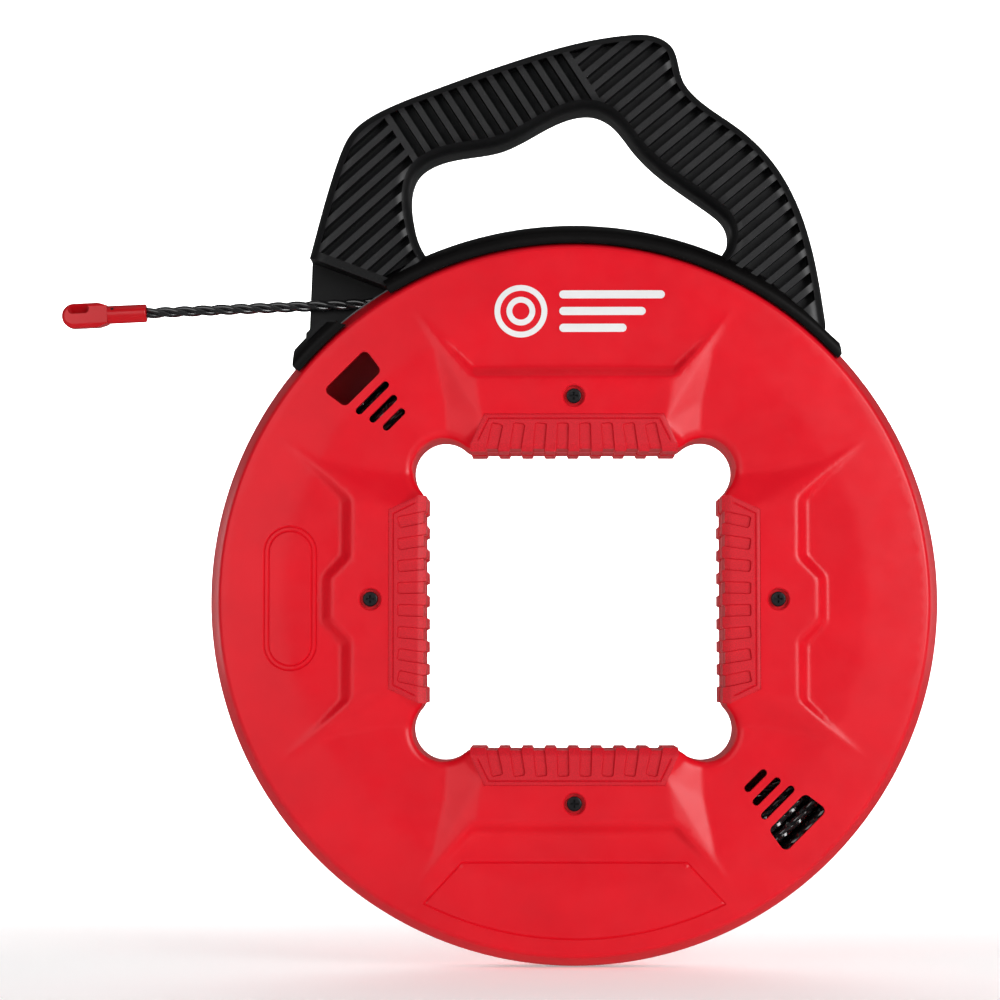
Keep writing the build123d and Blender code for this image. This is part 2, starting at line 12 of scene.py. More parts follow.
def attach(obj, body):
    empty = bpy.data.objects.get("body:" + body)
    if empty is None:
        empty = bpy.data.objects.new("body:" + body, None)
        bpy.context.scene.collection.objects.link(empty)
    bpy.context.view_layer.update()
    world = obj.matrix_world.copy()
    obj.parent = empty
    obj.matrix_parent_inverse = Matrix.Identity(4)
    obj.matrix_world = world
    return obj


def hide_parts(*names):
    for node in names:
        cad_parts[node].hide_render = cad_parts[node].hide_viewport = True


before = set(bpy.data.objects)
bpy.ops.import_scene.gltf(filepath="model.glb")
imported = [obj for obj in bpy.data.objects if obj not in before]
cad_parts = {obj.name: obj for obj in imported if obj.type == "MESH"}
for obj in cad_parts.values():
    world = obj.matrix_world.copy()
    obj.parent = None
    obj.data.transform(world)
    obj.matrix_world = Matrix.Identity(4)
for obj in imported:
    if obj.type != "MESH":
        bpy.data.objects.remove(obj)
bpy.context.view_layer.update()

# Fish tape reel. The object's sizes are in millimetres in the frame's axes, and MM turns them
# into metres; the camera, the floor and the lights are in metres. Flat shapes are drawn in
# (x, z); "depth" is the distance in front of the plane where the two shells meet, so a point
# at a depth has y = -depth.
MM = 0.001

# ---- sizes that the pieces share with the CAD model ----
CASE_R, RIM_WALL, WALL, RIM_SLOT_HALF = 152.5, 3.3, 2.8, 4.0
CREST_R, CREST_DEPTH, EDGE_R, EDGE_DEPTH = 120.0, 21.5, 146.0, 20.1
PLATEAU_DEPTH = 24.5
HUB_HALF, LOBE_AT, LOBE_R, LOBE_BLEND, HUB_WALL = 62.4, 54.2, 13.0, 7.0, 4.5
HUB_R, HUB_DEPTH, HUB_ROLL = 62.0, 17.6, 3.4
PAD_OUT, PAD_HALF_OUT, PAD_HALF_IN = 77.0, 37.3, 43.0
PAD_SEAT_DEPTH, PAD_LIP_T, PAD_LIP_END = 22.5, 2.2, 3.0
TOOTH_PITCH, TOOTH_H, TOOTH_W = 9.7, 1.1, 4.2
TOOTH_GAPS = np.arange(8) - 3.5  # the places between nine teeth, from the middle one
POCKET_W, POCKET_OUT, POCKET_LEAN, POCKET_DEPTH = 5.1, 73.2, 3.5, 0.95
SCREW_RING_R, RECESS_R, RECESS_FLOOR, RECESS_BEVEL = 84.4, 4.4, 22.0, 0.5
SCREW_HOLE_R, SCREW_HOLE_END, BOSS_R = 2.0, 15.0, 5.5
ENGRAVING_HALF, ENGRAVING_DEPTH = 0.5, 0.45
WINDOW_IN, WINDOW_OUT, WINDOW_HALF_IN, WINDOW_HALF_OUT = 123.8, 135.4, 10.7, 12.4
WINDOW_ANGLES = (135, 315)
SLOTS, SLOT_W = ((118.6, 9.2), (112.2, 7.6), (105.9, 6.0)), 3.2  # radius and half length
TAPE_D, LEAD_SLOPE, LEAD_OFF = 4.8, 1.95, 128.65
LEAD_ROUTE = ((-66.0, 126.48), (-126.0, 124.43), (-181.0, 121.99))  # x and z, as in the CAD model
FEED_END_X = -22.0
ANCHOR_TAPE_R, ANCHOR_ANGLE = 104.5, 292.5  # where the clip holds the tape's inner end
COIL_AT = (4.7, -4.7)  # the loose coil hangs off the case's centre
COIL_LAYERS = ((113.1, 6), (118.2, 6), (123.6, 4), (129.4, 4))  # radius and turns
COIL_HALF, COIL_GAP_HALF = 12.0, 6.7  # the outer layers leave room between for the feed
COIL_FROM, COIL_TO, COIL_FIRST_R, COIL_LAST_R = -43.6, 101.4, 107.5, 135.4  # angles and radii

# Zones of a relief: parts of its front or rear with a depth of their own
PLAIN, SEAT, LIP, RECESS, JOINT, BORE, GROOVE, NOTCH = range(8)


# ---- flat shapes ----
def unit(rows):
    """The same vectors, one to a row, at length 1."""
    return rows / norm(rows, axis=1)[:, None]


def ease(share):
    """A smooth step from 0 to 1."""
    share = np.clip(share, 0, 1)
    return share * share * (3 - 2 * share)


def polar(r, angle):
    return np.array([r * cos(radians(angle)), r * sin(radians(angle))])


def arc(centre, r, start, stop, step=1.0):
    """Points along an arc, from one angle in degrees to another."""
    count = max(2, int(ceil(abs(radians(stop - start)) * r / step)) + 1)
    return [np.array(centre) + polar(r, a) for a in np.linspace(start, stop, count)]


def spin(points, angle):
    """Flat points turned anticlockwise about the case's axis."""
    c, s = cos(radians(angle)), sin(radians(angle))
    return np.asarray(points, float) @ np.array([[c, s], [-s, c]])


def dense(path, step, closed=False):
    """The same path with points added so that none of its runs is longer than step."""
    path = np.asarray(path, float)
    ends = np.vstack([path, path[:1]]) if closed else path
    out = []
    for a, b in zip(ends[:-1], ends[1:]):
        count = max(1, int(ceil(norm(b - a) / step)))
        out += [a + (b - a) * i / count for i in range(count)]
    return np.array(out if closed else out + [ends[-1]])


def through(points, step=1.2):
    """A natural cubic spline through the points, as a dense path."""
    p = np.asarray(points, float)
    h = norm(np.diff(p, axis=0), axis=1)
    t = np.concatenate([[0], np.cumsum(h)])
    n = len(p)
    system, known = np.eye(n), np.zeros((n, 2))
    for i in range(1, n - 1):
        system[i, i - 1 : i + 2] = h[i - 1], 2 * (h[i - 1] + h[i]), h[i]
        known[i] = 6 * ((p[i + 1] - p[i]) / h[i] - (p[i] - p[i - 1]) / h[i - 1])
    bend = np.linalg.solve(system, known)
    s = np.linspace(0, t[-1], int(t[-1] / step) + 1)
    k = np.clip(np.searchsorted(t, s, side="right") - 1, 0, n - 2)
    b = ((s - t[k]) / h[k])[:, None]
    a, hk = 1 - b, h[k][:, None]
    return a * p[k] + b * p[k + 1] + ((a**3 - a) * bend[k] + (b**3 - b) * bend[k + 1]) * hk**2 / 6


def beside(path, right):
    """An open path moved to the right of its direction."""
    along = unit(np.gradient(path, axis=0))
    return path + np.stack([along[:, 1], -along[:, 0]], axis=1) * right


def distance(points, path, closed=False):
    """Each point's distance from a path."""
    path = np.asarray(path, float)
    a = path if closed else path[:-1]
    b = np.roll(path, -1, axis=0) if closed else path[1:]
    best = np.full(len(points), 1e9)
    for start in range(0, len(a), 64):
        p, q = a[start : start + 64][None], b[start : start + 64][None]
        run = q - p
        w = points[:, None] - p
        t = np.clip((w * run).sum(2) / np.maximum((run**2).sum(2), 1e-12), 0, 1)
        best = np.minimum(best, norm(w - run * t[..., None], axis=2).min(axis=1))
    return best


def roll_off(edge, radius):
    """How far a quarter-round edge lies below its top, at a distance from the edge."""
    edge = radius - np.minimum(edge, radius)
    return radius - np.sqrt(radius**2 - edge**2)


def inside(points, loop):
    """True where a point lies inside a closed path."""
    loop = np.asarray(loop, float)
    x, z = points[:, 0], points[:, 1]
    result = np.zeros(len(points), bool)
    for (x0, z0), (x1, z1) in zip(loop, np.roll(loop, -1, axis=0)):
        if z0 != z1:
            crosses = (z0 > z) != (z1 > z)
            result ^= crosses & (x < (x1 - x0) * (z - z0) / (z1 - z0) + x0)
    return result


def rounded(corners, radius, step=0.7):
    """A closed polygon with round corners."""
    corners = np.asarray(corners, float)
    out = []
    for before, at, after in zip(np.roll(corners, 1, 0), corners, np.roll(corners, -1, 0)):
        u, v = before - at, after - at
        u, v = u / norm(u), v / norm(v)
        half = np.arccos(np.clip(u @ v, -1, 1)) / 2
        reach = radius / tan(half)
        centre = at + (u + v) / norm(u + v) * radius / sin(half)
        first, last = at + u * reach - centre, at + v * reach - centre
        a0 = atan2(first[1], first[0])
        turn = (atan2(last[1], last[0]) - a0 + pi) % (2 * pi) - pi
        count = max(3, int(ceil(abs(turn) * radius / step)) + 1)
        out += [centre + radius * np.array([cos(a0 + turn * i / (count - 1)),
                                            sin(a0 + turn * i / (count - 1))])
                for i in range(count)]
    return np.array(out)


# ---- solids from flat shapes ----
def grid(low, high, pitch):
    """A staggered grid of points over a box."""
    rows = np.arange(low[1], high[1], pitch * 0.866)
    out = []
    for i, z in enumerate(rows):
        x = np.arange(low[0] + (i % 2) * pitch / 2, high[0], pitch)
        out.append(np.stack([x, np.full_like(x, z)], axis=1))
    return np.vstack(out)


def triangulate(loops, lines, points, gap):
    """Triangles that keep every loop and line as edges. Points within gap of one are left out."""
    verts, edges = [], []
    for path, closed in [(p, True) for p in loops] + [(p, False) for p in lines]:
        first = len(verts)
        verts += [Vector(p) for p in path]
        edges += [(first + i, first + i + 1) for i in range(len(path) - 1)]
        if closed:
            edges.append((first + len(path) - 1, first))
    near = KDTree(len(verts))
    for i, v in enumerate(verts):
        near.insert((v.x, v.y, 0), i)
    near.balance()
    verts += [Vector(p) for p in points if near.find((p[0], p[1], 0))[2] > gap]
    flat, _, faces = delaunay_2d_cdt(verts, edges, [], 0, 1e-4, False)[:3]
    flat = np.array([(v.x, v.y) for v in flat])
    faces = np.array([f for f in faces if len(f) == 3])
    a, b, c = (flat[faces[:, i]].T for i in range(3))
    area = (b[0] - a[0]) * (c[1] - a[1]) - (c[0] - a[0]) * (b[1] - a[1])
    kept = np.abs(area) > 1e-7
    faces, area = faces[kept], area[kept]
    faces[area < 0] = faces[area < 0][:, ::-1]
    return flat, faces


def middles(flat, faces):
    return flat[faces].mean(axis=1)


def new_object(name, mesh):
    obj = bpy.data.objects.new(name, mesh)
    bpy.context.scene.collection.objects.link(obj)
    return obj


def mesh_from(name, points, faces, sharp=35.0, merge=1e-7):
    """A closed mesh in metres, with coinciding points joined and its hard edges marked."""
    mesh = bpy.data.meshes.new(name)
    mesh.from_pydata([tuple(p) for p in points], [], faces)
    bm = bmesh.new()
    bm.from_mesh(mesh)
    bmesh.ops.remove_doubles(bm, verts=bm.verts, dist=merge)
    bmesh.ops.dissolve_degenerate(bm, edges=bm.edges, dist=merge)
    bm.to_mesh(mesh)
    bm.free()
    mesh.shade_smooth()
    mesh.set_sharp_from_angle(angle=radians(sharp))
    return mesh


def relief(name, flat, faces, front, rear, wall=None, sharp=35.0):
    """A solid over flat triangles. front and rear give each triangle's zone and the depth of
    points in a zone; where the zone changes, an upright wall joins the two depths. wall gives
    the points that a wall passes between front and rear at a point of the outline."""
    total = len(flat)
    points, index = [], []
    count = 0
    for zones, depth in (front, rear):
        key = (zones[:, None] * total + faces).ravel()
        used, place = np.unique(key, return_inverse=True)
        zone, at = used // total, used % total
        depths = np.empty(len(used))
        for z in np.unique(zone):
            depths[zone == z] = depth(flat[at[zone == z]], z)
        points.append(np.stack([flat[at, 0], -depths, flat[at, 1]], axis=1))
        index.append(place.reshape(-1, 3) + count)
        count += len(used)
    points = list(np.vstack(points))
    top, low = index
    made = [tuple(t) for t in top] + [tuple(t[::-1]) for t in low]
    edge, tops, lows = (np.concatenate([corners[:, [0, 1]], corners[:, [1, 2]], corners[:, [2, 0]]])
                        for corners in (faces, top, low))
    key = edge.min(axis=1) * total + edge.max(axis=1)
    order = np.argsort(key, kind="stable")
    i, between = 0, {}
    while i < len(order):
        e = order[i]
        if i + 1 < len(order) and key[order[i + 1]] == key[e]:
            f = order[i + 1]
            for side, flip in ((tops, False), (lows, True)):
                (a1, b1), (b2, a2) = side[e], side[f]
                if a1 != a2 or b1 != b2:
                    made.append((a1, b1, b2, a2) if flip else (b1, a1, a2, b2))
            i += 2
            continue
        (a1, b1), (a0, b0) = tops[e], lows[e]
        columns = []
        for at, high, down in ((edge[e][0], a1, a0), (edge[e][1], b1, b0)):
            if at not in between:
                extra = wall(flat[at]) if wall else []
                between[at] = list(range(len(points), len(points) + len(extra)))
                points += [np.array([x, -d, z]) for x, z, d in extra]
            columns.append([high, *between[at], down])
        left, right = columns
        if len(left) != len(right):
            left, right = [a1, a0], [b1, b0]
        for j in range(len(left) - 1):
            made.append((right[j], left[j], left[j + 1], right[j + 1]))
        i += 1
    made = [f for f in made if len(set(f)) > 2]
    return mesh_from(name, np.array(points) * MM, made, sharp)


def placed(mesh, name, turn, rear):
    """A copy of a mesh, turned about the case's axis and, for the rear, round to the back."""
    copy = mesh.copy()
    copy.name = name
    matrix = Matrix.Rotation(-radians(turn), 4, "Y")
    if rear:
        matrix = Matrix.Rotation(pi, 4, "Z") @ matrix
    copy.transform(matrix)
    return new_object(name, copy)


# ---- camera and the free end of the tape ----
def make_camera():
    camera = bpy.data.cameras.new("camera")
    camera.sensor_width, camera.lens = 36, 106.7
    obj = new_object("camera", camera)
    obj.location = (-0.013, -1.25, -0.029)
    aim = Vector((-0.031, 0, 0.0424)) - obj.location
    obj.rotation_euler = aim.to_track_quat("-Z", "Y").to_euler()
    bpy.context.scene.camera = obj


STRANDS, LAY, STRAND_R = 3, 24.0, 1.15
STRAND_OFF = TAPE_D / 2 - STRAND_R


def rope(name, path, run, sides=10):
    """Twisted strands round a path. run is the tape's length at each point of the path, so that
    pieces that meet have their strands in line."""
    path = np.asarray(path, float)
    along = unit(np.gradient(path, axis=0))
    side = unit(np.cross(along, np.array([0.0, 1.0, 0.0])))
    up = np.cross(side, along)
    points, faces = [], []
    for strand in range(STRANDS):
        phase = 2 * pi * (strand / STRANDS - run / LAY)
        out = side * np.cos(phase)[:, None] + up * np.sin(phase)[:, None]
        centre = path + out * STRAND_OFF
        run_on = unit(np.gradient(centre, axis=0))
        out = unit(out - run_on * (out * run_on).sum(1)[:, None])
        across = np.cross(run_on, out)
        first = len(points)
        for i in range(len(path)):
            for j in range(sides):
                a = 2 * pi * j / sides
                points.append(centre[i] + STRAND_R * (out[i] * cos(a) + across[i] * sin(a)))
        for i in range(len(path) - 1):
            for j in range(sides):
                k, m = first + i * sides, (j + 1) % sides
                faces.append((k + j, k + m, k + sides + m, k + sides + j))
        faces.append(tuple(first + j for j in reversed(range(sides))))
        faces.append(tuple(first + (len(path) - 1) * sides + j for j in range(sides)))
    return new_object(name, mesh_from(name, np.array(points) * MM, faces, sharp=60))


def lengths(path):
    """The length of a path up to each of its points."""
    steps = norm(np.diff(path, axis=0), axis=1)
    return np.concatenate([[0], np.cumsum(steps)])


def refined(path, step):
    """Points at equal steps along a fine path."""
    at = lengths(path)
    wanted = np.linspace(0, at[-1], int(at[-1] / step) + 1)
    return np.stack([np.interp(wanted, at, path[:, k]) for k in range(3)], axis=1)


def lead_line():
    """The free tape's centreline, read from its NURBS spline."""
    curve = bpy.data.curves.new("lead_route", "CURVE")
    curve.dimensions = "3D"
    curve.resolution_u = 48
    spline = curve.splines.new("NURBS")
    spline.points.add(len(LEAD_ROUTE) - 1)
    for point, (x, z) in zip(spline.points, LEAD_ROUTE):
        point.co = (x * MM, 0, z * MM, 1)
    spline.order_u = 3
    spline.use_endpoint_u = True
    route = new_object("lead_route", curve)
    bpy.context.view_layer.update()
    line = bpy.data.meshes.new_from_object(route)
    found = np.array([v.co for v in line.vertices], float) / MM
    bpy.data.objects.remove(route)
    return found


def on_lead(x):
    """A point of the straight line that the lead leaves on."""
    slope = radians(LEAD_SLOPE)
    foot = np.array([-sin(slope), cos(slope)]) * LEAD_OFF
    return np.array([x, 0, foot[1] - (foot[0] - x) * tan(slope)])


def coil_line():
    """The stored tape: 20 turns that fill the coil's room, from the tail to the feed."""
    places = []
    for row, (r, count) in enumerate(COIL_LAYERS):
        spread = np.linspace(-COIL_HALF, COIL_HALF, count)
        if count == 4:
            spread[1:3] = -COIL_GAP_HALF, COIL_GAP_HALF
        places += [(r, y) for y in (spread if row % 2 == 0 else spread[::-1])]
    total = 360 * (len(places) - 1) + COIL_TO - COIL_FROM
    swept = np.arange(0, total, 1.5)
    turn = swept / 360
    index = np.minimum(turn.astype(int), len(places) - 1)
    places = np.array(places)
    now, then = places[index], places[np.minimum(index + 1, len(places) - 1)]
    share = ease((turn - index - 0.86) / 0.14)[:, None]
    share[index == len(places) - 1] = 0
    where = now * (1 - share) + then * share
    wave = np.radians(swept)  # the turns lie a little uneven
    r = where[:, 0] + 0.28 * np.sin(wave * 2.31 + 1) + 0.16 * np.sin(wave * 5.13)
    y = where[:, 1] + 0.22 * np.sin(wave * 1.73 + 2) + 0.12 * np.sin(wave * 4.37)
    left = np.clip((total - swept) / 31, 0, 1)  # the ends swing out to feed and tail
    r += (COIL_LAST_R - r) * (1 - left) ** 2
    y *= ease((total - swept) / 70) * ease(swept / 60)
    begun = np.clip(swept / 15, 0, 1)
    r += (COIL_FIRST_R - r) * (1 - begun) ** 2
    angle = np.radians(COIL_FROM + swept)
    return np.stack([COIL_AT[0] + r * np.cos(angle), y, COIL_AT[1] + r * np.sin(angle)], axis=1)


def tail_line():
    """From under the clip to the inside of the coil."""
    clip, on = polar(ANCHOR_TAPE_R, ANCHOR_ANGLE), polar(1, ANCHOR_ANGLE + 90)
    start, stop = clip - 8 * on, clip + 46 * on
    return np.array([[start[0], 0, start[1]], [stop[0], 0, stop[1]]])


def make_tape():
    lead = refined(lead_line(), 0.8)
    piece = rope("tape_lead_strands", lead, lengths(lead), sides=14)
    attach(piece, "tape")
    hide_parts("tape_lead")
    feed = refined(np.array([on_lead(FEED_END_X), on_lead(LEAD_ROUTE[0][0])]), 0.8)
    feed_run = lengths(feed) - lengths(feed)[-1]
    inner = rope("tape_feed_strands", feed, feed_run, sides=14)
    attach(inner, "tape")
    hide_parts("tape_feed")
    coil, tail = coil_line(), refined(tail_line(), 1.5)
    coil_run = lengths(coil) - lengths(coil)[-1] + feed_run[0]
    wound = rope("tape_coil_strands", coil, coil_run, sides=6)
    end = rope("tape_tail_strands", tail, lengths(tail) - lengths(tail)[-1] + coil_run[0])
    for part, node in ((wound, "tape_coil"), (end, "tape_tail")):
        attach(part, "case")
        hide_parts(node)
    return [(part, "tape_black") for part in (piece, inner, wound, end)]


# ---- case ----
def hub_loop(grow=0.0):
    """The hand opening: a square with four round lobes, blended by S curves."""
    half, reach = HUB_HALF + LOBE_BLEND, LOBE_R + LOBE_BLEND
    across = LOBE_AT - sqrt(reach**2 - (half - LOBE_AT) ** 2)
    lean = degrees(atan2(half - LOBE_AT, across - LOBE_AT))
    quarter = arc((across, half), LOBE_BLEND - grow, -90, lean - 180)
    quarter += arc((LOBE_AT, LOBE_AT), LOBE_R + grow, lean, 90 - lean)[1:-1]
    quarter += arc((half, across), LOBE_BLEND - grow, 270 - lean, 180)
    return dense(np.vstack([spin(quarter, -90 * k) for k in range(4)]), 1.5, closed=True)


def pad_seat():
    """The space that a pad's face plate fills, at the top."""
    return np.array([(-PAD_HALF_IN, HUB_HALF - 3), (PAD_HALF_IN, HUB_HALF - 3),
                     (PAD_HALF_IN, HUB_HALF + 2), (PAD_HALF_OUT, PAD_OUT),
                     (-PAD_HALF_OUT, PAD_OUT), (-PAD_HALF_IN, HUB_HALF + 2)])


def dish(r):
    """Depth of the dished face at a radius."""
    return np.interp(r, [HUB_R, CREST_R, EDGE_R], [HUB_DEPTH, CREST_DEPTH, EDGE_DEPTH])


def flat_corners(jog):
    """The corners of the raised flat at the top: its upper edge and the foot of its sides, on
    the right, each as (x, z)."""
    upper = [(46, 58), (37.9, 73.5), (66.5, 121.5), (41, 92.5)]
    foot = [(53, 58), (54.3, 82.7), (66.5, 121.5), (42.5, 96.7)]
    if jog:
        upper += [(17, 92.5), (8.5, 100.9)]
        foot += [(18.5, 96.7), (9.7, 104.8)]
    return upper, foot


def flat_facets(jog):
    """The right half of a raised flat as triangles of (x, z, depth)."""
    upper, foot = flat_corners(jog)
    top = [(x, z, PLATEAU_DEPTH) for x, z in upper]
    low = [(x, z, float(dish(hypot(x, z))) - 0.4) for x, z in foot]
    tip = top[2] = (*upper[2], float(dish(hypot(*upper[2]))) + 0.1)
    found = [(top[1], tip, top[3])]
    for i in range(len(top) - 1):
        found += [(top[i], top[i + 1], low[i]), (top[i + 1], low[i + 1], low[i])]
    level = [(0, top[0][1]), upper[0], upper[1], *upper[3:], (0, upper[-1][1])]
    last_top, last_low = top[-1], low[-1]
    middle_top = (0, last_top[1], PLATEAU_DEPTH)
    middle_low = (0, last_low[1], last_low[2])
    found += [(last_top, middle_top, last_low), (middle_top, middle_low, last_low)]
    return found, level


class Surface:
    """The case's face as a height field, with its creases softened."""

    PITCH, REACH, SOFT = 0.5, 155.0, 0.9

    def __init__(self):
        line = np.arange(-self.REACH, self.REACH + self.PITCH, self.PITCH)
        self.line = line
        x, z = np.meshgrid(line, line, indexing="ij")
        self.depth = dish(np.hypot(x, z))
        for quarter in range(4):
            facets, level = flat_facets(jog=quarter % 2 == 1)
            for mirror in (1, -1):
                for facet in facets:
                    self.raise_to(facet, mirror, 90 * quarter)
                flat = spin([(mirror * u, v) for u, v in level], 90 * quarter)
                self.raise_level(flat)
        self.soften()

    def window(self, corners):
        low = np.searchsorted(self.line, corners.min(axis=0)) - 1
        high = np.searchsorted(self.line, corners.max(axis=0)) + 1
        low, high = np.maximum(low, 0), np.minimum(high, len(self.line))
        x, z = np.meshgrid(self.line[low[0]:high[0]], self.line[low[1]:high[1]], indexing="ij")
        return (slice(low[0], high[0]), slice(low[1], high[1])), x, z

    def raise_to(self, facet, mirror, turn):
        flat = spin([(mirror * u, v) for u, v, _ in facet], turn)
        depths = np.array([d for *_, d in facet])
        part, x, z = self.window(flat)
        (ax, az), (bx, bz), (cx, cz) = flat
        area = (bx - ax) * (cz - az) - (cx - ax) * (bz - az)
        if abs(area) < 1e-9:
            return
        s = ((x - ax) * (cz - az) - (cx - ax) * (z - az)) / area
        t = ((bx - ax) * (z - az) - (x - ax) * (bz - az)) / area
        value = depths[0] + s * (depths[1] - depths[0]) + t * (depths[2] - depths[0])
        within = (s >= -1e-6) & (t >= -1e-6) & (s + t <= 1 + 1e-6)
        here = self.depth[part]
        here[within] = np.maximum(here[within], value[within])

    def raise_level(self, flat):
        part, x, z = self.window(flat)
        within = inside(np.stack([x.ravel(), z.ravel()], axis=1), flat).reshape(x.shape)
        self.depth[part][within] = PLATEAU_DEPTH

    def soften(self):
        reach = int(3 * self.SOFT / self.PITCH)
        steps = np.arange(-reach, reach + 1)
        weights = np.exp(-0.5 * (steps * self.PITCH / self.SOFT) ** 2)
        weights /= weights.sum()
        padded = np.pad(self.depth, reach, mode="edge")
        size = len(self.line)
        rows = sum(w * padded[k : k + size] for k, w in enumerate(weights))
        self.depth = sum(w * rows[:, k : k + size] for k, w in enumerate(weights))

    def at(self, points):
        place = (points - self.line[0]) / self.PITCH
        cell = np.clip(place.astype(int), 0, len(self.line) - 2)
        part = place - cell
        i, j = cell.T
        s, t = part.T
        low = self.depth[i, j] * (1 - s) + self.depth[i + 1, j] * s
        high = self.depth[i, j + 1] * (1 - s) + self.depth[i + 1, j + 1] * s
        return low * (1 - t) + high * t


def crease_lines():
    """The lines where the raised flats' facets meet, all round."""
    found = []
    for quarter in range(4):
        upper, foot = flat_corners(jog=quarter % 2 == 1)
        runs = [upper, foot, [upper[1], upper[3]], [upper[2], foot[2]], [upper[1], foot[1]],
                [upper[-1], (0, upper[-1][1])], [foot[-1], (0, foot[-1][1])]]
        for run in runs:
            if np.ptp(np.array(run, float), axis=0).max() > 0:
                for mirror in (1, -1):
                    found.append(dense(spin([(mirror * u, v) for u, v in run], 90 * quarter), 1.2))
    return found


def capsule(x, z, half, width, step):
    """A round-ended slot along z."""
    end, r = half - width / 2, width / 2
    loop = arc((x, z + end), r, 0, 180, step) + arc((x, z - end), r, 180, 360, step)
    return dense(loop, 1.2, closed=True)


def window_loops():
    found = []
    corners = [(WINDOW_IN, -WINDOW_HALF_IN), (WINDOW_OUT, -WINDOW_HALF_OUT),
               (WINDOW_OUT, WINDOW_HALF_OUT), (WINDOW_IN, WINDOW_HALF_IN)]
    for angle in WINDOW_ANGLES:
        found.append(spin(dense(rounded(corners, 2.4), 1.2, closed=True), angle))
        found += [spin(capsule(r, 0, half, SLOT_W, 0.6), angle) for r, half in SLOTS]
    return found


LABEL_HALF_TOP, LABEL_TOP, LABEL_CORNER, LABEL_R = 46.4, -108.6, (62.2, -125.6), 140.1
PILL_AT, PILL_HALF_W, PILL_HALF_H, PILL_BORDER = (-117.9, 0.4), 10.8, 29.8, 1.9


def panel_lines():
    """The engraved outlines of the plain label panels on the front."""
    x, z = LABEL_CORNER
    edge = degrees(atan2(z, x))
    label = [(-LABEL_HALF_TOP, LABEL_TOP), (LABEL_HALF_TOP, LABEL_TOP), (x, z)]
    label += [polar(LABEL_R, a) for a in np.linspace(edge, -180 - edge, 40)][1:-1]
    label += [(-x, z)]
    return [dense(label, 1.2, closed=True)] + [
        capsule(*PILL_AT, PILL_HALF_H - inset, 2 * (PILL_HALF_W - inset), 1.0)
        for inset in (0, PILL_BORDER)]


SURFACE = Surface()


def ring_loop(centre, r, step=0.8):
    return np.array(arc(centre, r, 0, 360, step)[:-1])


# The rim from the face's edge down to its slot and back up inside, as (radius, depth)
RIM_PROFILE = (
    (146.6, 19.95), (147.2, 19.55), (147.8, 18.85), (148.3, 17.8), (149.3, 15.2), (150.4, 12.0),
    (151.3, 9.2), (152.0, 6.8), (CASE_R, RIM_SLOT_HALF + 0.4), (CASE_R - 0.4, RIM_SLOT_HALF),
    (CASE_R - RIM_WALL, RIM_SLOT_HALF), (CASE_R - RIM_WALL, 8.4),
)


